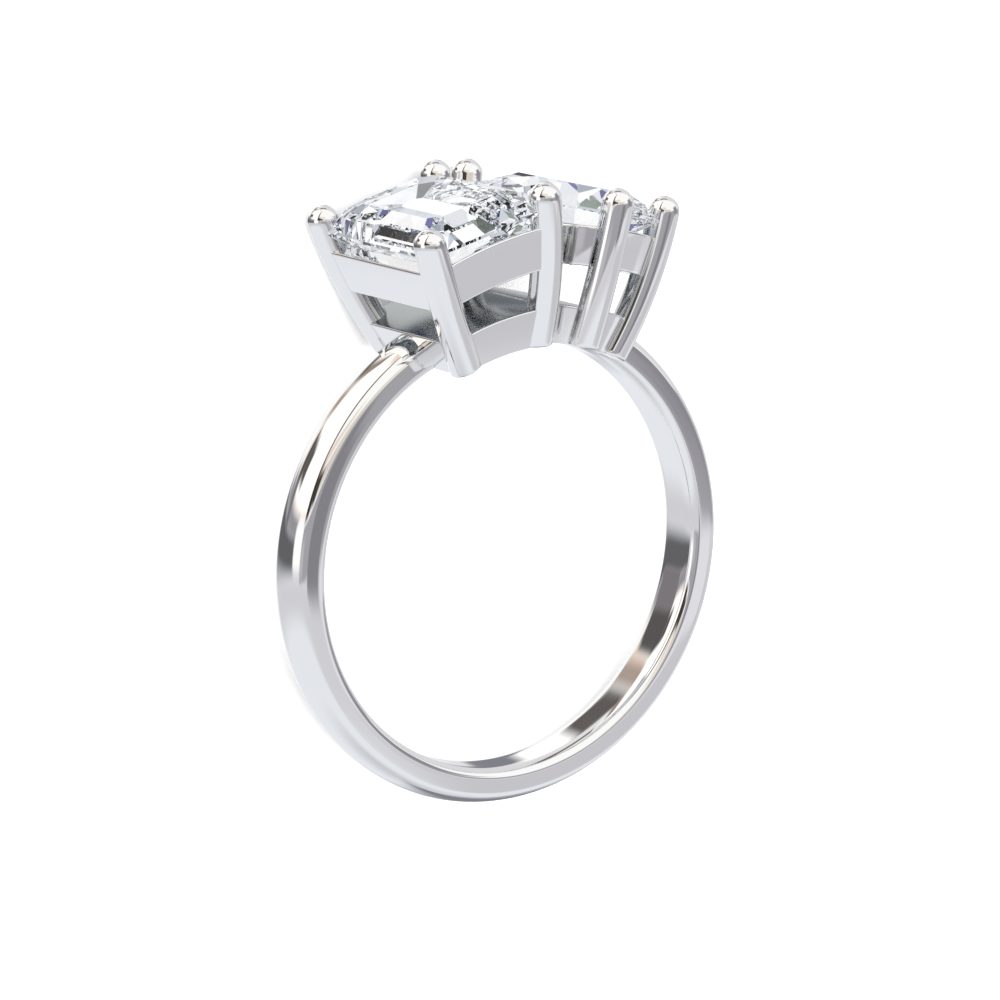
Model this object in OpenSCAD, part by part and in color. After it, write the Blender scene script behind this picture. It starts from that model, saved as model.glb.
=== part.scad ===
// Toi et moi ring: one shank and two baskets soldered into one head,
// with a step-cut stone and a pear-cut stone side by side.
// The ring is drawn upright about its finger hole, with X across the ring,
// Y along the finger and Z up to the stones. lie_down() then lays it on its back.

/* [Shank] */
// Radius of the finger hole
finger_r = 8.5; // [8.3:0.1:8.8]
// Width of the shank along the finger
shank_w = 2.18; // [2:0.02:2.4]
// Thickness of the shank at the crown of its outer dome
shank_t = 1.49; // [1.4:0.01:1.6]
// Height of the outer dome over the shank's flat sides
dome_h = 0.42; // [0.3:0.01:0.6]
// Radius of the soft edges beside the finger
inner_edge_r = 0.3; // [0.2:0.02:0.4]

/* [Prongs] */
// Radius of a prong's round wire
prong_r = 0.62; // [0.56:0.01:0.66]
// Radius that a prong is bent to
prong_bend_r = 20; // [18:1:30]
// Height of the ball tips over the girdle of their stone
tip_rise = 0.4; // [0.3:0.05:0.5]
// Gap between a stone and the metal that holds it
seat_gap = 0.02; // [0.01:0.01:0.05]

/* [Step-cut stone and its basket] */
// Length of the stone, along the finger
step_l = 8; // [7.9:0.05:8.1]
// Width of the stone, across the ring
step_w = 5.8; // [5.7:0.05:5.9]
// Cut corner of the stone, measured along its sides
step_corner = 0.75; // [0.6:0.05:0.9]
// Sideways place of the basket's ball tips
step_x = -3.09; // [-3.2:0.01:-3]
// Height of the basket's ball tips over the finger's centre
step_z = 13.71; // [13.6:0.01:13.8]
// Lean of the basket away from the second stone
step_tilt = 15; // [14:0.5:16]
// Half the span between ball tips across the ring
step_tip_x = 2.67; // [2.6:0.01:2.7]
// Half the span between ball tips along the finger
step_tip_y = 3.8; // [3.75:0.01:3.85]
// Half the span between prong feet across the ring
step_foot_x = 1.65; // [1.6:0.05:1.8]
// Half the span between prong feet along the finger
step_foot_y = 2.55; // [2.4:0.05:2.6]

/* [Pear-cut stone and its basket] */
// Radius of the stone's round end
lobe_r = 2.55; // [2.5:0.01:2.6]
// Distance from the middle of the round end to the point
tip_reach = 5.65; // [5.6:0.05:5.7]
// Radius of the stone's flanks
flank_r = 10; // [9:0.5:12]
// Sideways place of the middle of the round end
pear_x = 3.5; // [3.4:0.01:3.6]
// Place of the middle of the round end along the finger
pear_y = -1.25; // [-1.3:0.01:-1.2]
// Height of the basket's ball tips at the middle of the round end
pear_z = 13.76; // [13.7:0.01:13.8]
// Lean of the basket away from the first stone
pear_tilt = 12.6; // [12:0.1:13]
// Turn of the point towards the first stone
pear_turn = 24; // [22:0.5:26]
// Distance of the ball tips outside the girdle
pear_tip_out = 0.24; // [0.2:0.01:0.3]
// Angle of the two front prongs from the stone's long axis
lobe_prong_angle = 40; // [38:1:44]
// Distance that the pear basket's prongs lean in down to their feet
pear_lean = 0.95; // [0.8:0.05:1.2]

/* [Rails] */
// Thickness of the upper rails
rail_t = 0.75; // [0.6:0.05:0.8]
// Rail faces outside the prong wires' middle, across the ring
rail_out_x = 0.45; // [0.3:0.01:0.5]
// Rail faces outside the prong wires' middle, along the finger
rail_out_y = 0.38; // [0.3:0.01:0.5]
// Rail faces outside the girdle of the pear-cut stone
pear_rail_out = 0.1; // [0.05:0.01:0.15]
// Radius of the lower plates' top about the finger
low_plate_r = 10.08; // [10:0.01:10.1]
// Top of the step basket's upper rail below the ball tips
step_rail_top = 0.82; // [0.8:0.01:0.9]
// Height of the step basket's upper rail
step_rail_h = 1.71; // [1.5:0.01:1.8]
// Arch radius of the step basket's upper rail
step_arch_r = 16; // [15:0.5:18]
// Top of the pear basket's upper rail below the ball tips
pear_rail_top = 0.92; // [0.9:0.01:1]
// Height of the pear basket's upper rail
pear_rail_h = 1.57; // [1.5:0.01:1.6]
// Arch radius of the pear basket's upper rail
pear_arch_r = 13.5; // [13:0.5:18]

/* [Rest] */
// Pitch of the ring off its back, which its rear prongs lift
rest_pitch = 8.68; // [8:0.01:9.5]
// Roll of the ring, negative towards the step-cut stone
rest_roll = -1.22; // [-2:0.01:0]

/* [Hidden] */
$fn = 64;

metal = [0.86, 0.86, 0.88];
crystal = [0.85, 0.92, 0.97];

// Depth of the prong feet below the ball tips, before the finger hole trims them
foot_depth = 5.6;
// Length past the foot that the finger hole cuts away
foot_spare = 1.2;
// Distance that the step basket's prongs lean out from foot to tip
step_run = norm([step_tip_x - step_foot_x, step_tip_y - step_foot_y]);
// Corners cut off the step basket's rails, inside the prongs
rail_corner = 0.35;
// Length of the cutters that pass right through
through = 30;

girdle_h = 0.12;
// Height above the girdle's middle and draw-in of each section of the step cut,
// from culet to table
step_sections = [
    // z,   inset
    [-2.30, 2.40],
    [-1.30, 1.20],
    [-girdle_h / 2, 0],
    [girdle_h / 2, 0],
    [0.60, 0.50],
    [0.93, 1.25],
];

// Crown height, table size, and the size and height of the star points
pear_crown = 0.8;
pear_table = 0.6;
pear_star = 0.82;
// Pavilion depth, and the size and depth of the lower girdle facets' points
pear_pavilion = 2.25;
pear_lower = 0.3;
// Place of the culet and table centre along the pear's axis
pear_heart = 0.5;

// Centre and start angle of the arcs of the pear's flanks
flank_sin = (2 * lobe_r * flank_r - pow(lobe_r, 2) - pow(tip_reach, 2))
    / (2 * (flank_r - lobe_r) * tip_reach);
flank_from = asin(flank_sin);
flank_x = (flank_r - lobe_r) * cos(flank_from);
flank_y = -(flank_r - lobe_r) * sin(flank_from);

// Right half of a pear outline grown by out, from the round end to the point
function pear_half(out, n_lobe, n_flank) =
    let (point_angle = acos(flank_x / (flank_r + out)))
    concat(
        [for (i = [0:n_lobe]) let (a = -90 + (90 + flank_from) * i / n_lobe)
            (lobe_r + out) * [cos(a), sin(a)]],
        [for (i = [1:n_flank]) let (a = flank_from + (point_angle - flank_from) * i / n_flank)
            [-flank_x, flank_y] + (flank_r + out) * [cos(a), sin(a)]]
    );

// Whole pear outline, anticlockwise from the middle of the round end
function pear_outline(out, n_lobe, n_flank) =
    let (half = pear_half(out, n_lobe, n_flank))
    concat(half, [for (i = [len(half) - 2:-1:1]) [-half[i][0], half[i][1]]]);

// Rectangle with its corners cut off by c, anticlockwise
function cut_rectangle(x, y, c) =
    [[x, y - c], [x - c, y], [c - x, y], [-x, y - c], [-x, c - y], [c - x, -y], [x - c, -y], [x, c - y]];

// Outline of the step cut drawn in by inset
function step_outline(inset) =
    let (
        x = step_w / 2 - inset,
        y = step_l / 2 - inset,
        c = step_corner * (1 - 0.9 * inset / (step_w / 2))
    )
    cut_rectangle(x, y, c);

// Reach of the pear outline's point, grown by out
function pear_point(out) = flank_y + sqrt(pow(flank_r + out, 2) - pow(flank_x, 2));

function at_height(outline, z) = [for (p = outline) [p[0], p[1], z]];

// Closed solid through a stack of outlines with equal numbers of points
module loft(sections) {
    n = len(sections[0]);
    top = (len(sections) - 1) * n;
    polyhedron(
        points = [for (s = sections) each s],
        faces = concat(
            [[for (i = [0:n - 1]) i]],
            [for (k = [0:len(sections) - 2], i = [0:n - 1])
                [k * n + i, (k + 1) * n + i, (k + 1) * n + (i + 1) % n, k * n + (i + 1) % n]],
            [[for (i = [n - 1:-1:0]) top + i]]
        )
    );
}

module step_frame() {
    translate([step_x, 0, step_z]) rotate([0, -step_tilt, 0]) children();
}

// The pear basket's frame before the stone is turned
module pear_seat() {
    translate([pear_x, pear_y, pear_z]) rotate([0, pear_tilt, 0]) children();
}

module pear_frame() {
    pear_seat() rotate([0, 0, pear_turn]) children();
}

module about_finger(r, length = through) {
    rotate([90, 0, 0]) cylinder(h = length, r = r, center = true);
}

// Lays the upright ring on its back, on two rear prongs and the edge of the shank
module lie_down() {
    rotate([0, rest_roll, 0]) rotate([rest_pitch - 90, 0, 0]) children();
}

module shank_profile() {
    half_w = shank_w / 2;
    dome_r = (pow(dome_h, 2) + pow(half_w, 2)) / (2 * dome_h);
    intersection() {
        union() {
            translate([finger_r + inner_edge_r, -half_w]) square([shank_t, shank_w]);
            translate([finger_r, inner_edge_r - half_w]) square([shank_t, shank_w - 2 * inner_edge_r]);
            for (side = [-1, 1])
                translate([finger_r + inner_edge_r, side * (half_w - inner_edge_r)]) circle(r = inner_edge_r);
        }
        translate([finger_r + shank_t - dome_r, 0]) circle(r = dome_r);
    }
}

module shank() {
    rotate([90, 0, 0]) rotate_extrude() shank_profile();
}

// Middle of the arc that a prong's wire is bent to, as distance from the basket's axis
// and height, for a wire that runs from tip_out down to foot_out
function bend_middle(tip_out, foot_out) =
    let (
        run = tip_out - foot_out,
        chord = norm([run, foot_depth]),
        reach = sqrt(pow(prong_bend_r, 2) - pow(chord / 2, 2))
    )
    [(tip_out + foot_out) / 2 - reach * foot_depth / chord, reach * run / chord - foot_depth / 2];

// Distance of the wire's middle from the basket's axis at a height below the ball tip
function wire_out(tip_out, foot_out, z) =
    let (m = bend_middle(tip_out, foot_out))
    m[0] + sqrt(pow(prong_bend_r, 2) - pow(z - m[1], 2));

// Prong with its ball tip at tip_out from the basket's axis, leaning in to foot_out
module prong(tip_out, foot_out) {
    m = bend_middle(tip_out, foot_out);
    a_tip = asin(-m[1] / prong_bend_r);
    a_foot = asin((-foot_depth - foot_spare - m[1]) / prong_bend_r);
    translate([m[0], 0, m[1]])
        rotate([90, 0, 0])
            rotate([0, 0, a_foot])
                rotate_extrude(angle = a_tip - a_foot)
                    translate([prong_bend_r, 0]) circle(r = prong_r);
    translate([tip_out, 0, 0]) sphere(r = prong_r);
}

module step_prongs() {
    lean = atan2(step_tip_y - step_foot_y, step_tip_x - step_foot_x);
    for (mx = [0, 1], my = [0, 1])
        mirror([mx, 0, 0]) mirror([0, my, 0])
            translate([step_foot_x, step_foot_y, 0]) rotate([0, 0, lean]) prong(step_run, 0);
}

module pear_prongs() {
    lobe_out = lobe_r + pear_tip_out;
    for (side = [-1, 1])
        rotate([0, 0, -90 + side * lobe_prong_angle]) prong(lobe_out, lobe_out - pear_lean);
    rotate([0, 0, 90]) prong(tip_reach + pear_tip_out, pear_point(-pear_lean) + pear_tip_out);
}

// Outline that the step basket's rails follow, inset from their outer face
function step_rail(z, inset) =
    let (
        lean = wire_out(step_run, 0, z) / step_run,
        x = step_foot_x + (step_tip_x - step_foot_x) * lean + rail_out_x - inset,
        y = step_foot_y + (step_tip_y - step_foot_y) * lean + rail_out_y - inset
    )
    at_height(cut_rectangle(x, y, rail_corner), z);

// Pear outline that the pear basket's rails follow, inset from their outer face
function pear_rail(z, inset) =
    let (out = wire_out(0, -pear_lean, z) + pear_rail_out - inset)
    at_height(pear_outline(out, 8, 4), z);

module step_walls(z_low, z_high) {
    difference() {
        loft([step_rail(z_low, 0), step_rail(z_high, 0)]);
        loft([step_rail(z_low - 0.1, rail_t), step_rail(z_high + 0.1, rail_t)]);
    }
}

module pear_walls(z_low, z_high) {
    difference() {
        loft([pear_rail(z_low, 0), pear_rail(z_high, 0)]);
        loft([pear_rail(z_low - 0.1, rail_t), pear_rail(z_high + 0.1, rail_t)]);
    }
}

// Cylinder along the finger whose crown stands at a height in a basket's frame
module arch(crown_z, r) {
    translate([0, 0, crown_z - r]) about_finger(r);
}

module step_upper_rail() {
    difference() {
        intersection() {
            step_walls(-step_rail_top - step_rail_h - 0.6, -step_rail_top + 0.1);
            arch(-step_rail_top, step_arch_r);
        }
        arch(-step_rail_top - step_rail_h, step_arch_r);
    }
}

module pear_upper_rail() {
    difference() {
        intersection() {
            pear_frame() pear_walls(-pear_rail_top - pear_rail_h - 1.2, -pear_rail_top + 0.1);
            pear_seat() arch(-pear_rail_top, pear_arch_r);
        }
        pear_seat() arch(-pear_rail_top - pear_rail_h, pear_arch_r);
    }
}

// Solid plate under each stone, its top following the finger
module lower_plates() {
    depth = -foot_depth - foot_spare;
    intersection() {
        union() {
            step_frame() loft([step_rail(depth, 0), step_rail(-3.6, 0)]);
            pear_frame() loft([pear_rail(depth, 0), pear_rail(-3.4, 0)]);
        }
        about_finger(low_plate_r);
    }
}

// Both baskets, before the finger hole trims their feet and lower plates
module head() {
    step_frame() {
        step_prongs();
        step_upper_rail();
    }
    pear_frame() pear_prongs();
    pear_upper_rail();
    lower_plates();
}

module ring_mount() {
    color(metal) lie_down() difference() {
        union() {
            shank();
            head();
        }
        about_finger(finger_r);
        step_frame() translate([0, 0, -tip_rise]) step_cut(seat_gap);
        pear_frame() translate([0, 0, -tip_rise]) pear_cut(seat_gap);
    }
}

// Step-cut stone about its girdle, grown by gap for its seat
module step_cut(gap = 0) {
    loft([for (s = step_sections) at_height(step_outline(s[1] - gap), s[0])]);
}

module emerald_stone() {
    color(crystal) lie_down() step_frame() translate([0, 0, -tip_rise]) step_cut();
}

// Outline point k of 16, grown by out and drawn in towards the culet to share size
function facet_point(k, size, z, gap) =
    let (p = pear_outline(gap, 4, 4)[k % 16])
    [size * p[0], pear_heart + size * (p[1] - pear_heart), z];

// Pear-cut stone about its girdle, grown by gap for its seat. Kite facets run from
// the even outline points to the table and the culet, and stars lie between them.
module pear_cut(gap = 0) {
    half_girdle = girdle_h / 2;
    star_z = half_girdle + pear_crown * (1 - cos(22.5) * pear_star) / (1 - pear_table);
    lower_z = -half_girdle - pear_pavilion * (1 - cos(22.5) * pear_lower);
    even = [0:2:14];
    points = concat(
        [for (k = even) facet_point(k, pear_table, half_girdle + pear_crown, gap)],
        [for (k = even) facet_point(k + 1, pear_star, star_z, gap)],
        [for (k = [0:15]) facet_point(k, 1, half_girdle + gap, gap)],
        [for (k = [0:15]) facet_point(k, 1, -half_girdle - gap, gap)],
        [for (k = even) facet_point(k + 1, pear_lower, lower_z, gap)],
        [[0, pear_heart, -half_girdle - pear_pavilion]]
    );
    star = 8;
    upper = 16;
    under = 32;
    lower = 48;
    culet = 56;
    faces = concat(
        [[for (k = [7:-1:0]) k]],
        [for (k = [0:7]) [k, (k + 1) % 8, star + k]],
        [for (k = [0:7]) each [
            [k, star + k, upper + 2 * k],
            [k, upper + 2 * k, star + (k + 7) % 8],
            [star + k, upper + 2 * k + 1, upper + 2 * k],
            [star + k, upper + (2 * k + 2) % 16, upper + 2 * k + 1]
        ]],
        [for (k = [0:15]) [upper + k, upper + (k + 1) % 16, under + (k + 1) % 16, under + k]],
        [for (k = [0:7]) each [
            [lower + k, under + 2 * k, under + 2 * k + 1],
            [lower + k, under + 2 * k + 1, under + (2 * k + 2) % 16],
            [culet, under + 2 * k, lower + k],
            [culet, lower + (k + 7) % 8, under + 2 * k]
        ]]
    );
    polyhedron(points = points, faces = faces);
}

module pear_stone() {
    color(crystal) lie_down() pear_frame() translate([0, 0, -tip_rise]) pear_cut();
}

ring_mount();
emerald_stone();
pear_stone();
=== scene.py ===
"""Toi et moi ring: the looks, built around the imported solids.

The ring's own frame is upright, as in part.scad: X across the ring, Y along the finger,
Z up to the stones, origin at the finger hole's centre, in millimetres. REST then lays it
on its back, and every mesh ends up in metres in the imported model's frame.
"""

import math

import bpy
import bmesh
import numpy as np
from mathutils import Matrix, Vector
from mathutils.bvhtree import BVHTree


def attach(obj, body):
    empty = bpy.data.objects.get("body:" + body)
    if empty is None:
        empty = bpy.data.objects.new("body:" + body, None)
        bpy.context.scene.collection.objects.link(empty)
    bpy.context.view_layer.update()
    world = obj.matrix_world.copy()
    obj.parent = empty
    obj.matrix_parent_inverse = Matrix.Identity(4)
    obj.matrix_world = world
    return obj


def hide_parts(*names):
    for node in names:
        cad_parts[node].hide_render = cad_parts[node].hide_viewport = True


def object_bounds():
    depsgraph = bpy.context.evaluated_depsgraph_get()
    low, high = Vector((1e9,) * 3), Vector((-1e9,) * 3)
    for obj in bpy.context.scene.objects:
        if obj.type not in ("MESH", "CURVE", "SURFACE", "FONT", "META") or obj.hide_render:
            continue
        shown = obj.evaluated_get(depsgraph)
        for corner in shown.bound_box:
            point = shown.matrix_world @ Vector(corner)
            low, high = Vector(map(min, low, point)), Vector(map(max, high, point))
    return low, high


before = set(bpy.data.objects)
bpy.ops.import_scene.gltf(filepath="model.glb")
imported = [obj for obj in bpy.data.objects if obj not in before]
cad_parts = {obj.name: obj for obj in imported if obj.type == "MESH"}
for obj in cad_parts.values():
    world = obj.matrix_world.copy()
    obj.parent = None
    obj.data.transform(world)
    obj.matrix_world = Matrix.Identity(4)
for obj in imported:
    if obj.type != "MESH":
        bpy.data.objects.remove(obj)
cad_low, cad_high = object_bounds()
scene = bpy.context.scene

# Sizes, as in part.scad
FINGER_R = 8.5
SHANK_W, SHANK_T = 2.18, 1.49
PRONG_R, PRONG_BEND_R = 0.62, 20.0
STEP_X, STEP_Z, STEP_TILT = -3.09, 13.71, 15.0
STEP_TIP_X, STEP_TIP_Y, STEP_FOOT_X, STEP_FOOT_Y = 2.67, 3.8, 1.65, 2.55
LOBE_R, TIP_REACH, FLANK_R = 2.55, 5.65, 10.0
PEAR_X, PEAR_Y, PEAR_Z, PEAR_TILT, PEAR_TURN = 3.5, -1.25, 13.76, 12.6, 24.0
PEAR_TIP_OUT, LOBE_PRONG_ANGLE, PEAR_LEAN = 0.24, 40.0, 0.95
RAIL_T, RAIL_OUT_X, RAIL_OUT_Y, PEAR_RAIL_OUT = 0.75, 0.45, 0.38, 0.1
LOW_PLATE_R, HEAD_UNDER_R = 10.08, 8.55
STEP_RAIL_TOP, STEP_RAIL_H, STEP_ARCH_R = 0.82, 1.71, 16.0
PEAR_RAIL_TOP, PEAR_RAIL_H, PEAR_ARCH_R = 0.92, 1.57, 13.5
FOOT_DEPTH, FOOT_SPARE, RAIL_CORNER = 5.6, 1.2, 0.35
REST_PITCH, REST_ROLL = 8.68, -1.22

# Sizes of the looks alone

# Polishing softens the shank's section: a higher dome, sides that lean in, and wide edges.
SOFT_DOME_H, SIDE_TAPER, OUTER_SOFT_R = 0.5, 6.0, 0.5
INNER_SOFT_R, INNER_SOFT_Y = 0.36, 0.58
# Softness of the other edges, and how much a stone is grown to cut its seat
EDGE_SOFT, SEAT_GROWTH = 0.11, 1.006
# How far the rails' walls run past their top and bottom before these are cut
RAIL_SPARE, STEP_RAIL_SPARE, PEAR_RAIL_SPARE = 0.1, 0.6, 1.2
# Height that each plate's block reaches before its top is cut
STEP_PLATE_HIGH, PEAR_PLATE_HIGH = -3.6, -3.4
# Steps round the shank, round a prong and along it, along each long side of the step basket,
# and round the pear's round end and along its flank
SHANK_STEPS, WIRE_STEPS, WIRE_LENGTHS = 320, 64, 56
SIDE_STEPS, LOBE_STEPS, FLANK_STEPS = 20, 40, 24
BISECTIONS = 40
# Creases sharper than this stay sharp, in degrees
CREASE = 32

# A millimetre in metres
MM = 0.001
# The camera's direction round the ring and over it, in degrees, as fitted to the photograph
PHOTO_AZIMUTH, PHOTO_ELEVATION = 33.58, 11.95


def turn(axis, degrees):
    return Matrix.Rotation(math.radians(degrees), 4, axis)


REST = turn("Y", REST_ROLL) @ turn("X", REST_PITCH - 90)
TO_ROW = REST @ Matrix.Scale(MM, 4)
STEP_RUN = math.hypot(STEP_TIP_X - STEP_FOOT_X, STEP_TIP_Y - STEP_FOOT_Y)
STEP_FRAME = Matrix.Translation((STEP_X, 0, STEP_Z)) @ turn("Y", -STEP_TILT)
PEAR_SEAT = Matrix.Translation((PEAR_X, PEAR_Y, PEAR_Z)) @ turn("Y", PEAR_TILT)
PEAR_FRAME = PEAR_SEAT @ turn("Z", PEAR_TURN)


# Camera
def add_camera():
    """The photograph's camera, fitted in the ring's own upright frame."""
    azimuth, elevation = math.radians(PHOTO_AZIMUTH), math.radians(PHOTO_ELEVATION)
    # distance and shifts in mm, and the focal length in sensor widths for each metre of distance
    distance, shift_x, shift_z, focal = 174.0, 0.021, -2.014, 25.6
    level = math.cos(elevation)
    right = Vector((math.cos(azimuth), -math.sin(azimuth), 0))
    ahead = Vector((math.sin(azimuth) * level, math.cos(azimuth) * level, -math.sin(elevation)))
    up = right.cross(ahead)
    place = -distance * ahead - shift_x * right - shift_z * up
    data = bpy.data.cameras.new("camera")
    data.sensor_width = 36
    data.lens = data.sensor_width * focal * distance * MM
    data.clip_start, data.clip_end = 0.01, 10
    cam = bpy.data.objects.new("camera", data)
    scene.collection.objects.link(cam)
    axes = Matrix((right, up, -ahead)).transposed().to_4x4()
    cam.matrix_world = REST @ Matrix.Translation(place * MM) @ axes
    scene.camera = cam


add_camera()


# Mesh helpers
def grid_mesh(name, rings, closed=False):
    """Quads through rings of equal length; a face shuts each end, or closed joins last to first."""
    rings = np.asarray(rings, float)
    count, n = rings.shape[:2]
    bm = bmesh.new()
    verts = [bm.verts.new(p) for p in rings.reshape(-1, 3)]
    for k in range(count if closed else count - 1):
        a, b = k * n, (k + 1) % count * n
        for i in range(n):
            j = (i + 1) % n
            bm.faces.new((verts[a + i], verts[a + j], verts[b + j], verts[b + i]))
    if not closed:
        bm.faces.new(verts[:n])
        bm.faces.new(verts[-n:])
    bmesh.ops.recalc_face_normals(bm, faces=bm.faces)
    mesh = bpy.data.meshes.new(name)
    bm.to_mesh(mesh)
    bm.free()
    return mesh


def placed(points, matrix):
    """The points, a row each, moved by the matrix."""
    m = np.array(matrix)
    return np.asarray(points) @ m[:3, :3].T + m[:3, 3]


def bisect(inside, low, high):
    """Where inside(t) turns from False at low to True at high, for arrays of t."""
    for _ in range(BISECTIONS):
        middle = (low + high) / 2
        hit = inside(middle)
        low, high = np.where(hit, low, middle), np.where(hit, middle, high)
    return (low + high) / 2


# Shank
def shank_profile():
    """Radius and place along the finger round the shank's section, inside edge first."""
    half, taper = SHANK_W / 2, math.radians(SIDE_TAPER)
    points = [(FINGER_R, y) for y in np.linspace(0, half - INNER_SOFT_Y, 4)[:-1]]
    last = math.pi / 2 + math.atan(math.tan(taper) * INNER_SOFT_R / INNER_SOFT_Y)
    for a in np.linspace(0, last, 12):
        r = FINGER_R + INNER_SOFT_R * (1 - math.cos(a))
        points.append((r, half - INNER_SOFT_Y * (1 - math.sin(a))))
    side = Vector(points[-1])
    along = Vector((math.cos(taper), -math.sin(taper)))
    out = Vector((math.sin(taper), math.cos(taper)))
    dome_r = (SOFT_DOME_H**2 + half**2) / (2 * SOFT_DOME_H)
    dome_middle = Vector((FINGER_R + SHANK_T - dome_r, 0))
    start = side - OUTER_SOFT_R * out - dome_middle
    back = start.dot(along)
    run = -back + math.sqrt(back**2 - start.length_squared + (dome_r - OUTER_SOFT_R) ** 2)
    middle = dome_middle + start + run * along
    turn_in = math.atan2(middle.y, middle.x - dome_middle.x)
    points += [tuple(side + run * share * along) for share in (0.33, 0.67)]
    for a in np.linspace(math.pi / 2 - taper, turn_in, 10):
        r = middle.x + OUTER_SOFT_R * math.cos(a)
        points.append((r, middle.y + OUTER_SOFT_R * math.sin(a)))
    for a in np.linspace(turn_in, 0, 12)[1:]:
        points.append((dome_middle.x + dome_r * math.cos(a), dome_r * math.sin(a)))
    mirrored = [(r, -y) for r, y in points[-2:0:-1]]
    return np.array(points + mirrored)


def make_shank():
    """The shank's section turned round the finger hole."""
    r, y = shank_profile().T
    rings = []
    for a in np.linspace(0, 2 * math.pi, SHANK_STEPS, endpoint=False):
        rings.append(np.stack([r * math.sin(a), y, r * math.cos(a)], 1))
    return grid_mesh("shank", rings, closed=True)


# Prongs
def bend_middle(run, foot_out):
    """Middle of the arc that a prong follows, as its place out and its height."""
    chord = math.hypot(run, FOOT_DEPTH)
    reach = math.sqrt(PRONG_BEND_R**2 - (chord / 2) ** 2)
    return (
        foot_out + run / 2 - reach * FOOT_DEPTH / chord,
        reach * run / chord - FOOT_DEPTH / 2,
    )


def wire_out(run, foot_out, z):
    """How far out the middle of a prong's wire is at height z."""
    m = bend_middle(run, foot_out)
    return m[0] + math.sqrt(PRONG_BEND_R**2 - (z - m[1]) ** 2)


def make_prong(name, matrix, tip_out, foot_out):
    """Round wire on its arc, with a ball tip and a foot that follows the finger hole."""
    mx, mz = bend_middle(tip_out - foot_out, foot_out)
    a_tip = math.asin(-mz / PRONG_BEND_R)
    a_foot = math.asin((-FOOT_DEPTH - FOOT_SPARE - mz) / PRONG_BEND_R)
    phi = np.linspace(0, 2 * math.pi, WIRE_STEPS, endpoint=False)

    def wire(a, r, past=0.0):
        """The ring of radius r at a along the arc, or past it on the arc's tangent."""
        out = PRONG_BEND_R + r * np.cos(phi)
        x = mx + out * np.cos(a) - past * np.sin(a)
        z = mz + out * np.sin(a) + past * np.cos(a)
        return placed(np.stack([x, r * np.sin(phi), z], 1), matrix)

    def end_at(r, lift):
        """How far along each line of the wire ends, at lift over the finger hole."""

        def inside(a):
            p = wire(a, r)
            return np.hypot(p[:, 0], p[:, 2]) < HEAD_UNDER_R + lift

        return bisect(inside, np.full(WIRE_STEPS, a_tip), np.full(WIRE_STEPS, a_foot))

    rings = []
    for b in np.linspace(math.pi / 2, 0, 19)[1:-1]:
        rings.append(wire(a_tip, PRONG_R * math.cos(b), PRONG_R * math.sin(b)))
    full = end_at(PRONG_R, EDGE_SOFT)
    for s in np.linspace(0, 1, WIRE_LENGTHS):
        rings.append(wire(a_tip + (full - a_tip) * s, PRONG_R))
    for b in np.linspace(0, math.pi / 2, 6)[1:]:
        r = PRONG_R - EDGE_SOFT * (1 - math.cos(b))
        rings.append(wire(end_at(r, EDGE_SOFT * (1 - math.sin(b))), r))
    for share in (0.75, 0.5, 0.25, 0.06):
        r = (PRONG_R - EDGE_SOFT) * share
        rings.append(wire(end_at(r, 0.0), r))
    return grid_mesh(name, rings)


def make_prongs():
    """Four prongs round the step-cut stone and three round the pear."""
    lean = math.degrees(math.atan2(STEP_TIP_Y - STEP_FOOT_Y, STEP_TIP_X - STEP_FOOT_X))
    made = []
    for sx in (1, -1):
        for sy in (1, -1):
            foot = Matrix.Translation((STEP_FOOT_X, STEP_FOOT_Y, 0))
            m = STEP_FRAME @ Matrix.Diagonal((sx, sy, 1, 1)) @ foot
            made.append(make_prong("step_prong", m @ turn("Z", lean), STEP_RUN, 0.0))
    lobe_out = LOBE_R + PEAR_TIP_OUT
    for side in (-1, 1):
        m = PEAR_FRAME @ turn("Z", -90 + side * LOBE_PRONG_ANGLE)
        made.append(make_prong("pear_prong", m, lobe_out, lobe_out - PEAR_LEAN))
    tip = TIP_REACH + PEAR_TIP_OUT
    foot = pear_point(-PEAR_LEAN) + PEAR_TIP_OUT
    made.append(make_prong("pear_prong", PEAR_FRAME @ turn("Z", 90), tip, foot))
    return made


# Outlines

# Each flank of the pear is an arc about (-FLANK_X, FLANK_Y), from the round end at FLANK_FROM on.
FLANK_SPARE = FLANK_R - LOBE_R
FLANK_SIN = (2 * LOBE_R * FLANK_R - LOBE_R**2 - TIP_REACH**2) / (2 * FLANK_SPARE * TIP_REACH)
FLANK_FROM = math.asin(FLANK_SIN)
FLANK_X = FLANK_SPARE * math.cos(FLANK_FROM)
FLANK_Y = -FLANK_SPARE * math.sin(FLANK_FROM)


def pear_point(out):
    """Place along the pear of its point, on the outline grown by out."""
    return FLANK_Y + math.sqrt((FLANK_R + out) ** 2 - FLANK_X**2)


def pear_outline(out):
    """Pear outline grown by out, from the middle of the round end, anticlockwise."""
    point = math.acos(FLANK_X / (FLANK_R + out))
    half = [
        ((LOBE_R + out) * math.cos(a), (LOBE_R + out) * math.sin(a))
        for a in np.linspace(-math.pi / 2, FLANK_FROM, LOBE_STEPS + 1)
    ]
    half += [
        (-FLANK_X + (FLANK_R + out) * math.cos(a), FLANK_Y + (FLANK_R + out) * math.sin(a))
        for a in np.linspace(FLANK_FROM, point, FLANK_STEPS + 1)[1:]
    ]
    return np.array(half + [(-x, y) for x, y in half[-2:0:-1]])


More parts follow.
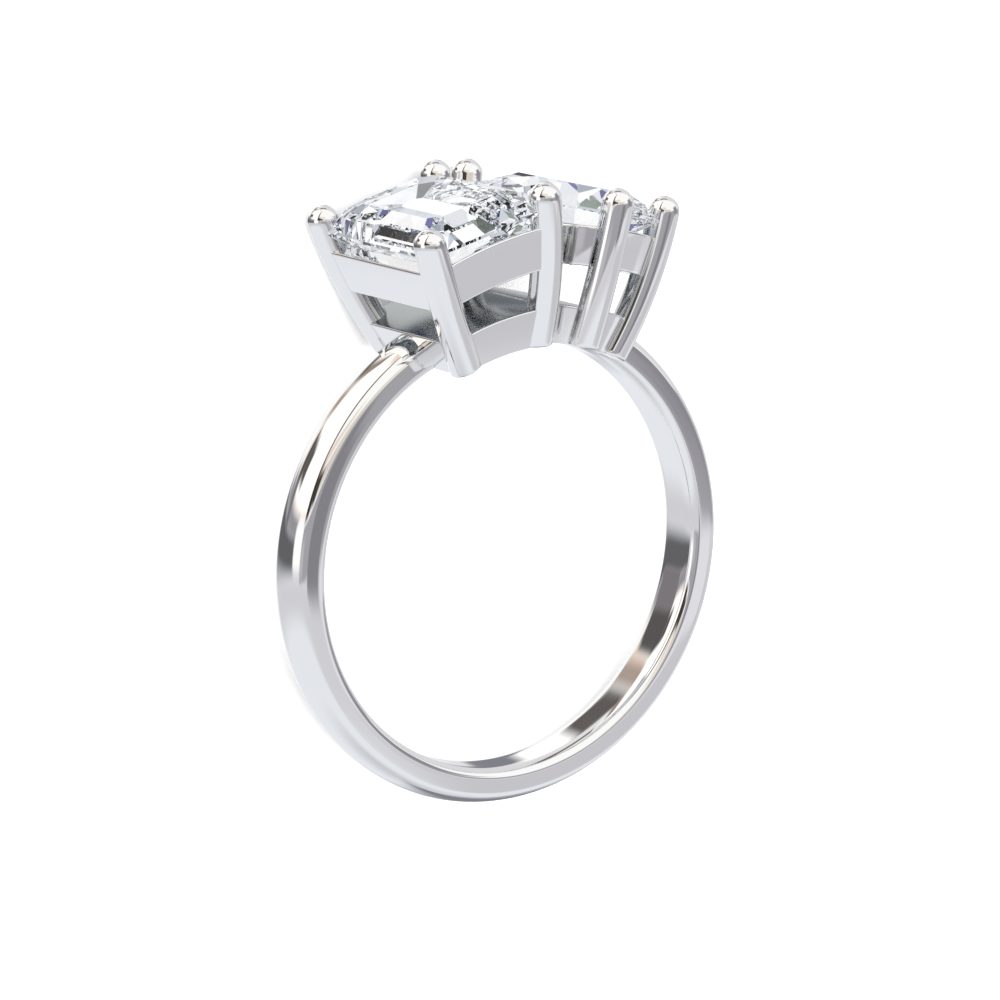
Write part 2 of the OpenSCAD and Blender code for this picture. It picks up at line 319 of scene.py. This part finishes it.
def rail_box(x, y):
    """Rectangle with cut corners, anticlockwise."""
    corner, points = RAIL_CORNER, []
    for (ax, ay), (bx, by) in (
        ((x, corner - y), (x, y - corner)),
        ((x - corner, y), (corner - x, y)),
        ((-x, y - corner), (-x, corner - y)),
        ((corner - x, -y), (x - corner, -y)),
    ):
        for t in np.linspace(0, 1, SIDE_STEPS):
            points.append((ax + (bx - ax) * t, ay + (by - ay) * t))
    return np.array(points)


def step_rail(z, inset):
    """Outline of the step basket's rail at height z, drawn in by inset."""
    lean = wire_out(STEP_RUN, 0.0, z) / STEP_RUN
    x = STEP_FOOT_X + (STEP_TIP_X - STEP_FOOT_X) * lean + RAIL_OUT_X - inset
    y = STEP_FOOT_Y + (STEP_TIP_Y - STEP_FOOT_Y) * lean + RAIL_OUT_Y - inset
    return rail_box(x, y)


def pear_rail(z, inset):
    """Outline of the pear basket's rail at height z, drawn in by inset."""
    return pear_outline(wire_out(PEAR_LEAN, -PEAR_LEAN, z) + PEAR_RAIL_OUT - inset)


# Rails and plates
def soft_corner(before, corner, after):
    """Points of a rounded edge from before to after, for arrays of corners."""
    shares = (0, 0.2, 0.4, 0.6, 0.8, 1)
    return [(1 - t) ** 2 * before + 2 * t * (1 - t) * corner + t * t * after for t in shares]


def outline_at(outline, z, inset, lift, matrix):
    """The outline at height z, lifted further by lift, as points in upright mm."""
    flat = outline(z, inset)
    return placed(np.c_[flat, np.full(len(flat), z + lift)], matrix)


def on_cylinder(low, high, cylinder):
    """Where lines from low to high cross a cylinder along the finger, given as (x, z, radius)."""
    cx, cz, r = cylinder

    def outside(t):
        p = low + (high - low) * t[:, None]
        return np.hypot(p[:, 0] - cx, p[:, 2] - cz) > r

    return low + (high - low) * bisect(outside, np.zeros(len(low)), np.ones(len(low)))[:, None]


def make_rail(name, matrix, outline, z_low, z_high, top, bottom):
    """Band between the cylinders top and bottom, with soft edges."""

    def wall(inset, spare):
        low = outline_at(outline, z_low, inset, -spare, matrix)
        high = outline_at(outline, z_high, inset, spare, matrix)
        return on_cylinder(low, high, top), on_cylinder(low, high, bottom)

    outer_top, outer_bottom = wall(0.0, 0.0)
    inner_top, inner_bottom = wall(RAIL_T, RAIL_SPARE)
    corners = [outer_top, inner_top, inner_bottom, outer_bottom]
    section = []
    for k, corner in enumerate(corners):
        before, after = corners[k - 1] - corner, corners[(k + 1) % 4] - corner
        p = corner + EDGE_SOFT * before / np.linalg.norm(before, axis=1)[:, None]
        q = corner + EDGE_SOFT * after / np.linalg.norm(after, axis=1)[:, None]
        section += soft_corner(p, corner, q)
    rings = np.stack(section, 1)
    return grid_mesh(name, rings, closed=True)


def make_plate(name, matrix, outline, z_low, z_high, top, bottom):
    """Solid block between the cylinders top and bottom, its top edge softened."""
    low, high = (outline_at(outline, z, 0, 0, matrix) for z in (z_low, z_high))

    def ring(share, cylinder):
        """The outline drawn in to this share of its size, on the cylinder."""
        a, b = (side.mean(0) + share * (side - side.mean(0)) for side in (low, high))
        return on_cylinder(a, b, cylinder)

    corner, foot, inner = ring(1, top), ring(1, bottom), ring(0.8, top)
    down, back = (
        side / np.linalg.norm(side, axis=1)[:, None] for side in (foot - corner, inner - corner)
    )
    rings = [ring(s, bottom) for s in (0.03, 0.3, 0.6, 0.9)] + [foot]
    rings += soft_corner(corner + EDGE_SOFT * down, corner, corner + EDGE_SOFT * back)
    inwards = (0.92, 0.84, 0.76, 0.66, 0.56, 0.46, 0.36, 0.26, 0.16, 0.08, 0.03)
    rings += [ring(s, top) for s in inwards]
    return grid_mesh(name, rings)


def arch(seat, crown_z, r):
    """The cylinder of radius r whose crown is at height crown_z of the seat."""
    centre = seat @ Vector((0, 0, crown_z - r))
    return centre.x, centre.z, r


def make_rails():
    """The upper rail and the lower plate of each basket."""
    under, low_top = (0, 0, HEAD_UNDER_R), (0, 0, LOW_PLATE_R)
    depth = -FOOT_DEPTH - FOOT_SPARE
    step_low = -STEP_RAIL_TOP - STEP_RAIL_H - STEP_RAIL_SPARE
    step_high = -STEP_RAIL_TOP + RAIL_SPARE
    step_top = arch(STEP_FRAME, -STEP_RAIL_TOP, STEP_ARCH_R)
    step_bottom = arch(STEP_FRAME, -STEP_RAIL_TOP - STEP_RAIL_H, STEP_ARCH_R)
    pear_low = -PEAR_RAIL_TOP - PEAR_RAIL_H - PEAR_RAIL_SPARE
    pear_high = -PEAR_RAIL_TOP + RAIL_SPARE
    pear_top = arch(PEAR_SEAT, -PEAR_RAIL_TOP, PEAR_ARCH_R)
    pear_bottom = arch(PEAR_SEAT, -PEAR_RAIL_TOP - PEAR_RAIL_H, PEAR_ARCH_R)
    return [
        make_rail("rail", STEP_FRAME, step_rail, step_low, step_high, step_top, step_bottom),
        make_rail("rail", PEAR_FRAME, pear_rail, pear_low, pear_high, pear_top, pear_bottom),
        make_plate("plate", STEP_FRAME, step_rail, depth, STEP_PLATE_HIGH, low_top, under),
        make_plate("plate", PEAR_FRAME, pear_rail, depth, PEAR_PLATE_HIGH, low_top, under),
    ]


# Union
def as_object(mesh):
    """A new object in the scene with this mesh."""
    o = bpy.data.objects.new(mesh.name, mesh)
    scene.collection.objects.link(o)
    return o


def applied(o):
    """The object's mesh with its modifiers applied."""
    graph = bpy.context.evaluated_depsgraph_get()
    return bpy.data.meshes.new_from_object(o.evaluated_get(graph))


def stone_cutter(node):
    """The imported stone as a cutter, grown a little about its middle, in upright mm."""
    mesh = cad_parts[node].data.copy()
    mesh.transform(TO_ROW.inverted())
    bm = bmesh.new()
    bm.from_mesh(mesh)
    bmesh.ops.remove_doubles(bm, verts=bm.verts, dist=1e-4)
    bmesh.ops.recalc_face_normals(bm, faces=bm.faces)
    middle = sum((v.co for v in bm.verts), Vector()) / len(bm.verts)
    for v in bm.verts:
        v.co = middle + (v.co - middle) * SEAT_GROWTH
    bm.to_mesh(mesh)
    bm.free()
    return mesh


def solid_union(meshes, cutters):
    """One solid of all the meshes, with the cutters taken out of it."""
    base = as_object(meshes[0].copy())
    for operation, others in (("UNION", meshes[1:]), ("DIFFERENCE", cutters)):
        for other in others:
            tool = as_object(other.copy())
            m = base.modifiers.new("solid", "BOOLEAN")
            m.operation, m.object, m.solver = operation, tool, "MANIFOLD"
            base.data = applied(base)
            base.modifiers.clear()
            bpy.data.objects.remove(tool)
    return base


# Reach of the search for a face's own piece, and the least agreement of their normals
NEAR, SAME_WAY = 0.02, 0.94


def take_normals(mesh, sources, sharp_angle):
    """Gives each face the smooth normals of its own piece, and returns the pieces' names."""
    trees, corner_normals = [], []
    for s in sources:
        for p in s.polygons:
            p.use_smooth = True
        s.set_sharp_from_angle(angle=sharp_angle)
        points, faces = [v.co for v in s.vertices], [p.vertices[:] for p in s.polygons]
        trees.append(BVHTree.FromPolygons(points, faces))
        corner_normals.append([Vector(c.vector) for c in s.corner_normals])
    for p in mesh.polygons:
        p.use_smooth = True
    normals, pieces = [None] * len(mesh.loops), []
    for p in mesh.polygons:
        best = None
        for k, tree in enumerate(trees):
            hit = tree.find_nearest(p.center, NEAR)
            if hit[0] is not None:
                score = hit[3] + (0 if abs(hit[1].dot(p.normal)) > SAME_WAY else 1)
                if best is None or score < best[0]:
                    best = score, k, hit[2]
        pieces.append(sources[best[1]].name if best else "")
        for loop in p.loop_indices:
            if best is None or best[0] >= 1:
                normals[loop] = p.normal.copy()
                continue
            source = sources[best[1]]
            face = source.polygons[best[2]]
            where = mesh.vertices[mesh.loops[loop].vertex_index].co
            away = [(where - source.vertices[v].co).length for v in face.vertices]
            shares = [1 / max(length, 1e-5) ** 2 for length in away]
            n = Vector()
            for share, corner in zip(shares, face.loop_indices):
                n += share * corner_normals[best[1]][corner]
            n.normalize()
            if n.dot(p.normal) < 0:
                n.negate()
            normals[loop] = n
    mesh.normals_split_custom_set(normals)
    return pieces


# A recess face, which gets a duller polish and painted shade: how straight a plate's face looks
# outwards, and how much a face of a rail or prong looks at its stone's axis, within this distance
# of it and between these heights
OUTWARDS, INWARDS = 0.97, 0.55
RECESS_R, RECESS_LOW, RECESS_HIGH = 4.6, -4.5, -0.5
PLATE_MARK, WALL_MARK = 1.0, 0.6


def inner_share(c, n):
    """How much a face at c with normal n looks at its own stone's axis."""
    best = 0.0
    for seat in (STEP_FRAME, PEAR_FRAME):
        p = seat.inverted() @ c
        away = math.hypot(p.x, p.y)
        if away < RECESS_R and RECESS_LOW < p.z < RECESS_HIGH:
            turned = seat.to_3x3().inverted() @ n
            best = max(best, -(turned.x * p.x + turned.y * p.y) / max(away, 0.1))
    return best


def mark_dull_and_shaded(mesh, pieces):
    """Marks, in an attribute, the recess faces that get a duller polish and painted shade."""
    marks = mesh.attributes.new("dull_and_shaded", "FLOAT", "FACE")
    for face, mark, piece in zip(mesh.polygons, marks.data, pieces):
        c, n = face.center, face.normal
        r = math.hypot(c.x, c.z)
        if piece.startswith("plate") and n.x * c.x + n.z * c.z > OUTWARDS * r:
            mark.value = PLATE_MARK
        elif r > LOW_PLATE_R and inner_share(c, n) > INWARDS:
            mark.value = WALL_MARK


def make_mount():
    """The whole mount as one solid with softened edges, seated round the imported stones."""
    parts = [make_shank()] + make_prongs() + make_rails()
    cutters = [stone_cutter(node) for node in ("emerald_stone", "pear_stone")]
    mount = solid_union(parts, cutters)
    mount.name = mount.data.name = "polished_mount"
    pieces = take_normals(mount.data, parts + cutters, math.radians(CREASE))
    mark_dull_and_shaded(mount.data, pieces)
    mount.data.transform(TO_ROW)
    return mount


mount = make_mount()
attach(mount, "root")
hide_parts("ring_mount")
# Rays that pass through a stone don't see the mount: they all reach the tent.
mount.visible_transmission = False


# Materials

# Roughness of the metal from its smoothest to its dullest, what a recess adds, the metal's own
# tone, and the painted shade of its recesses
SMOOTH, DULL, RECESS_DULL = 0.035, 0.065, 0.12
METAL_TONE, RECESS_PAINTED_SHADE = (0.875, 0.875, 0.875, 1), (0.27, 0.29, 0.295, 1)
# Polish marks to a metre, and the refraction and the tamed gloss of diamond
POLISH_SCALE = 900
DIAMOND_IOR, DIAMOND_GLOSS = 2.417, (0.25, 0.25, 0.25, 1)


def new_material(name):
    """A material with the name, its nodes and its links."""
    material = bpy.data.materials.new(name)
    material.use_nodes = True
    return material, material.node_tree.nodes, material.node_tree.links


def polished_metal():
    """Rhodium-white gold: faint unevenness of hand polishing, and duller recesses with painted
    shade.
    """
    material, nodes, links = new_material("polished_white_gold")
    shader = nodes["Principled BSDF"]
    shader.inputs["Metallic"].default_value = 1
    where = nodes.new("ShaderNodeTexCoord")
    noise = nodes.new("ShaderNodeTexNoise")
    noise.inputs["Scale"].default_value = POLISH_SCALE
    noise.inputs["Detail"].default_value = 4
    links.new(where.outputs["Object"], noise.inputs["Vector"])
    spread = nodes.new("ShaderNodeMapRange")
    spread.inputs["To Min"].default_value = SMOOTH
    spread.inputs["To Max"].default_value = DULL
    links.new(noise.outputs["Fac"], spread.inputs["Value"])
    dull_and_shaded = nodes.new("ShaderNodeAttribute")
    dull_and_shaded.attribute_name = "dull_and_shaded"
    dull = nodes.new("ShaderNodeMath")
    dull.operation = "MULTIPLY_ADD"
    dull.inputs[1].default_value = RECESS_DULL
    links.new(dull_and_shaded.outputs["Fac"], dull.inputs[0])
    links.new(spread.outputs["Result"], dull.inputs[2])
    links.new(dull.outputs[0], shader.inputs["Roughness"])
    # The recess faces take a dark tone in their base colour: painted shade.
    tone = nodes.new("ShaderNodeMix")
    tone.data_type = "RGBA"
    tone.inputs[6].default_value = METAL_TONE
    tone.inputs[7].default_value = RECESS_PAINTED_SHADE
    links.new(dull_and_shaded.outputs["Fac"], tone.inputs[0])
    links.new(tone.outputs[2], shader.inputs["Base Color"])
    return material


def diamond(name):
    """Clear diamond, its outside gloss tamed to the photograph's."""
    material, nodes, _ = new_material(name)
    shader = nodes["Principled BSDF"]
    shader.inputs["Base Color"].default_value = (1, 1, 1, 1)
    shader.inputs["Roughness"].default_value = 0
    shader.inputs["IOR"].default_value = DIAMOND_IOR
    shader.inputs["Specular Tint"].default_value = DIAMOND_GLOSS
    shader.inputs["Transmission Weight"].default_value = 1
    return material


def wear(o, material):
    """Gives the object this material alone."""
    o.data.materials.clear()
    o.data.materials.append(material)


wear(mount, polished_metal())
wear(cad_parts["emerald_stone"], diamond("step_cut_diamond_look"))
wear(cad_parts["pear_stone"], diamond("pear_cut_diamond_look"))


# Studio

# Polished metal and cut stones show what stands round them, so the studio is laid out as
# card after card on a sphere, each over the ones before it. Longitude runs from the
# camera's side of the ring to the picture's right and latitude upwards, for the ring as
# the photograph shows it. Colours are given as they show in the metal.
SKY, GROUND, NADIR = (0.985, 0.985, 0.98), (0.89, 0.90, 0.92), (0.78, 0.79, 0.81)
# Latitudes from which to which the nadir turns into ground, and the ground into sky
NADIR_FADE, SKY_FADE = (-85, -50), (-3, 13)
CARDS = (
    # what it is, lon, lat, half width, half height, tilt, softness, colour, share
    ("under shade", 172, -52, 16, 26, 0, 20, (0.42, 0.42, 0.45), 0.9),
    ("side haze", 150, 32, 34, 40, 0, 26, (0.80, 0.79, 0.80), 0.75),
    ("high haze", -165, 60, 30, 22, 0, 20, (0.85, 0.85, 0.86), 0.8),
    ("window frame", -80, 46, 45, 34, 0, 4, (0.93, 0.84, 0.78), 1.0),
    ("window", -80, 44, 40, 31, 0, 5, (1.06, 1.05, 1.03), 1.0),
    ("right jamb", -34, 46, 5, 34, 0, 5, (0.34, 0.30, 0.27), 1.0),
    ("high beam", 180, 68, 42, 5, 0, 5, (0.42, 0.36, 0.32), 1.0),
    ("left curtain", -127, 52, 5, 15, -30, 6, (0.52, 0.45, 0.40), 0.9),
    ("back lamp", -170, 29, 8, 6, 20, 4, (1.05, 1.05, 1.04), 1.0),
    ("back flag", 179, 12, 7, 8.5, 0, 5, (0.49, 0.50, 0.525), 1.0),
    ("left beam", -146.5, 37, 13.5, 4.5, 8, 8, (0.37, 0.35, 0.34), 1.0),
    ("left fold", -128, 32, 9, 5, 40, 8, (0.62, 0.54, 0.49), 0.9),
    ("table haze", 20, -17, 160, 7, 0, 12, (0.80, 0.795, 0.81), 0.9),
    ("left table", -105, -3, 42, 7, 2, 8, (0.38, 0.38, 0.39), 1.0),
    ("left sill", -97, 7, 36, 4, 0, 6, (0.58, 0.57, 0.59), 1.0),
    ("tripod", -113, 20, 7, 9, 0, 5, (0.34, 0.33, 0.33), 1.0),
    ("tripod foot", -111, 8, 6, 7, 0, 4, (0.48, 0.465, 0.475), 1.0),
    ("stand", -99, 24, 9, 7, 0, 6, (0.36, 0.34, 0.34), 1.0),
    ("right haze", 88, -27, 26, 11, 0, 12, (0.77, 0.765, 0.785), 1.0),
    ("back shade", 143, -60, 15, 12, 0, 12, (0.62, 0.62, 0.65), 1.0),
    ("side gleam", 72, -14.5, 14, 3.3, 0, 1.6, (0.865, 0.865, 0.885), 1.0),
    ("horizon", 45, -2.4, 78, 9.5, 0, 1.8, (0.63, 0.625, 0.645), 1.0),
    ("horizon core", 46, -7.6, 9.5, 6.4, 0, 2.5, (0.51, 0.505, 0.525), 1.0),
    ("horizon gap", -22, -5, 14, 6, 0, 8, (0.72, 0.71, 0.73), 1.0),
    ("low lamp", -50, 1, 15, 8, 0, 6, (1.02, 1.01, 1.0), 1.0),
    ("camera", -29, 20, 11, 11, 0, 5, (0.24, 0.22, 0.20), 1.0),
    ("camera arm", -12, 17, 12, 6, -10, 5, (0.26, 0.24, 0.22), 1.0),
    ("wall shelf", -5, 31, 24, 5, 0, 8, (0.88, 0.82, 0.77), 0.9),
    ("wall foot", 25, 14, 26, 6, -6, 7, (0.82, 0.78, 0.73), 0.9),
    ("right shade", 92, 8, 16, 16, 0, 10, (0.54, 0.53, 0.56), 1.0),
    ("small lamp", 52, 8, 6, 3, 0, 4, (0.95, 0.92, 0.86), 1.0),
    ("table glow", -165, -8, 14, 12, 0, 12, (1.0, 1.0, 1.0), 0.8),
)
# What the stones draw their light from: a tent of panels in random tones, with a few set ones.
# Each tone holds from its own place in the panels' random numbers up to the next one's.
PANEL_SCALE, PANEL_SEED = 4.0, 9.0
PANEL_TONES = (
    (0.00, (0.06, 0.07, 0.09)),
    (0.07, (0.30, 0.32, 0.37)),
    (0.13, (0.40, 0.40, 0.62)),
    (0.17, (0.58, 0.63, 0.59)),
    (0.23, (0.68, 0.71, 0.76)),
    (0.36, (0.84, 0.87, 0.91)),
    (0.52, (0.97, 0.98, 1.0)),
    (0.72, (1.10, 1.10, 1.10)),
)
STONE_CARDS = (
    ("lamp 1", 168, 38, 22, 15, 0, 1, (1.08, 1.08, 1.08), 1.0),
    ("lamp 2", -169, -11, 12, 8, 0, 2, (1.08, 1.08, 1.08), 1.0),
    ("lamp 3", 88, -35, 12, 9, 0, 3, (1.02, 1.03, 1.05), 1.0),
    ("white wall", 135, -29, 10, 7, 0, 1, (0.92, 0.94, 0.98), 1.0),
    ("grey wall", 155, 27, 7, 5, 0, 1, (0.86, 0.88, 0.93), 1.0),
    ("black flag", 174, 45, 13, 1.6, -20, 0.5, (0.03, 0.03, 0.05), 1.0),
    ("grey flag 1", 118, -49, 7, 6, 0, 1, (0.28, 0.30, 0.34), 1.0),
    ("grey flag 2", -150, -78, 60, 6, 0, 1, (0.25, 0.27, 0.31), 1.0),
    ("grey flag 3", -50, 45, 7, 6, 0, 1, (0.36, 0.40, 0.37), 1.0),
    ("violet gel 1", 64, -28, 8, 7, 0, 1, (0.36, 0.36, 0.62), 1.0),
    ("violet gel 2", 179, -41, 10, 4, 0, 1, (0.40, 0.40, 0.66), 1.0),
)
# Strength of the tent, and the share of the light that the metal gives back
TENT_LIGHT, METAL_SHARE = 0.77, 0.88


def linear(colour):
    """The light that shows in the metal as this sRGB colour."""
    light = (c / 12.92 if c < 0.04045 else ((c + 0.055) / 1.055) ** 2.4 for c in colour)
    return tuple(c / METAL_SHARE for c in light) + (1,)


def studio_world():
    """The cards for the metal, the tent for the stones and plain white for the table."""
    world = bpy.data.worlds.new("studio")
    scene.world = world
    world.use_nodes = True
    nodes, links = world.node_tree.nodes, world.node_tree.links

    def node(kind, inputs=(), **settings):
        made = nodes.new(kind)
        for name, value in settings.items():
            setattr(made, name, value)
        for socket, value in inputs:
            if isinstance(value, bpy.types.NodeSocket):
                links.new(value, made.inputs[socket])
            else:
                made.inputs[socket].default_value = value
        return made

    def maths(operation, a, b=0.0):
        return node("ShaderNodeMath", ((0, a), (1, b)), operation=operation).outputs[0]

    def vectors(operation, *inputs):
        return node("ShaderNodeVectorMath", tuple(enumerate(inputs)), operation=operation)

    direction = node("ShaderNodeTexCoord").outputs["Generated"]
    a = math.radians(PHOTO_AZIMUTH)
    axes = (math.cos(a), -math.sin(a), 0), (-math.sin(a), -math.cos(a), 0), (0, 0, 1)
    turned_axes = [REST.to_3x3() @ Vector(axis) for axis in axes]
    right, near, up = (
        vectors("DOT_PRODUCT", direction, axis).outputs["Value"] for axis in turned_axes
    )
    lon = maths("MULTIPLY", maths("ARCTAN2", right, near), math.degrees(1))
    lat = maths("MULTIPLY", maths("ARCSINE", up), math.degrees(1))
    place = node("ShaderNodeCombineXYZ", ((0, lon), (1, lat))).outputs[0]

    def step(value, low, high):
        inputs = ("Value", value), ("From Min", low), ("From Max", high)
        return node("ShaderNodeMapRange", inputs, interpolation_type="SMOOTHSTEP").outputs[0]

    def mix(share, under, over):
        inputs = (0, share), (6, under), (7, over)
        return node("ShaderNodeMix", inputs, data_type="RGBA").outputs[2]

    def laid(cards, colour):
        """The colour with each card laid over it in turn."""
        for _, card_lon, card_lat, half_w, half_h, tilt, soft, shade, share in cards:
            away = vectors("SUBTRACT", place, (card_lon, card_lat, 0)).outputs[0]
            near_by = vectors("WRAP", away, (180,) * 3, (-180,) * 3).outputs[0]
            inputs = (0, near_by), (3, math.radians(-tilt))
            turned = node("ShaderNodeVectorRotate", inputs, rotation_type="Z_AXIS").outputs[0]
            size = vectors("ABSOLUTE", turned).outputs[0]
            parts = node("ShaderNodeSeparateXYZ", ((0, size),))
            across = step(parts.outputs[0], half_w + soft / 2, half_w - soft / 2)
            upwards = step(parts.outputs[1], half_h + soft / 2, half_h - soft / 2)
            cover = maths("MULTIPLY", maths("MULTIPLY", across, upwards), share)
            colour = mix(cover, colour, linear(shade))
        return colour

    below = mix(step(lat, *NADIR_FADE), linear(NADIR), linear(GROUND))
    backdrop = mix(step(lat, *SKY_FADE), below, linear(SKY))
    cards = node("ShaderNodeBackground", (("Color", laid(CARDS, backdrop)),))
    seeded = vectors("ADD", direction, (PANEL_SEED, 0, 0)).outputs[0]
    panels = node("ShaderNodeTexVoronoi", (("Vector", seeded), ("Scale", PANEL_SCALE)))
    number = node("ShaderNodeSeparateXYZ", ((0, panels.outputs["Color"]),)).outputs[0]
    tones = node("ShaderNodeValToRGB", ((0, number),))
    tones.color_ramp.interpolation = "CONSTANT"
    for k, (start, tone) in enumerate(PANEL_TONES):
        stop = tones.color_ramp.elements[0] if k == 0 else tones.color_ramp.elements.new(start)
        stop.position, stop.color = start, linear(tone)
    tones.color_ramp.elements.remove(tones.color_ramp.elements[-1])
    inputs = ("Color", laid(STONE_CARDS, tones.outputs[0])), ("Strength", TENT_LIGHT)
    tent = node("ShaderNodeBackground", inputs)
    plain = nodes["Background"]
    plain.inputs["Color"].default_value = (1, 1, 1, 1)
    ray = node("ShaderNodeLightPath")
    shown = cards
    for kind, light in (("Is Transmission Ray", tent), ("Is Diffuse Ray", plain)):
        inputs = (0, ray.outputs[kind]), (1, shown.outputs[0]), (2, light.outputs[0])
        shown = node("ShaderNodeMixShader", inputs)
    links.new(shown.outputs[0], nodes["World Output"].inputs["Surface"])
    world.cycles.sampling_method = "NONE"


# Half the table's side, the light's width and its height over the table, in metres
TABLE_HALF, LIGHT_WIDE, LIGHT_HIGH = 3, 0.3, 0.15
LIGHT_WATTS, TABLE_TONE = 0.55, (0.93, 0.93, 0.93, 1)


def add_table():
    """A white table, which the metal and the stones don't mirror: they mirror the cards."""
    mesh = bpy.data.meshes.new("floor")
    corners = ((-1, -1), (1, -1), (1, 1), (-1, 1))
    points = [(x * TABLE_HALF, y * TABLE_HALF, cad_low.z) for x, y in corners]
    mesh.from_pydata(points, [], [(0, 1, 2, 3)])
    o = as_object(mesh)
    material, nodes, _ = new_material("pale_floor")
    shader = nodes["Principled BSDF"]
    shader.inputs["Base Color"].default_value = TABLE_TONE
    shader.inputs["Roughness"].default_value = 1
    shader.inputs["Specular IOR Level"].default_value = 0
    wear(o, material)
    o.visible_glossy = False
    o.visible_transmission = False


def add_table_light():
    """One wide soft light over the table, hidden from the metal and the stones."""
    data = bpy.data.lights.new("table light", "AREA")
    data.shape, data.size, data.energy = "DISK", LIGHT_WIDE, LIGHT_WATTS
    o = bpy.data.objects.new("table light", data)
    scene.collection.objects.link(o)
    o.location = (0, 0, cad_low.z + LIGHT_HIGH)
    o.visible_glossy = False
    o.visible_transmission = False


studio_world()
add_table()
add_table_light()
scene.view_settings.view_transform = "Standard"
# Light turns many times inside a cut stone.
scene.cycles.max_bounces = 24
scene.cycles.transmission_bounces = 24
scene.cycles.glossy_bounces = 24
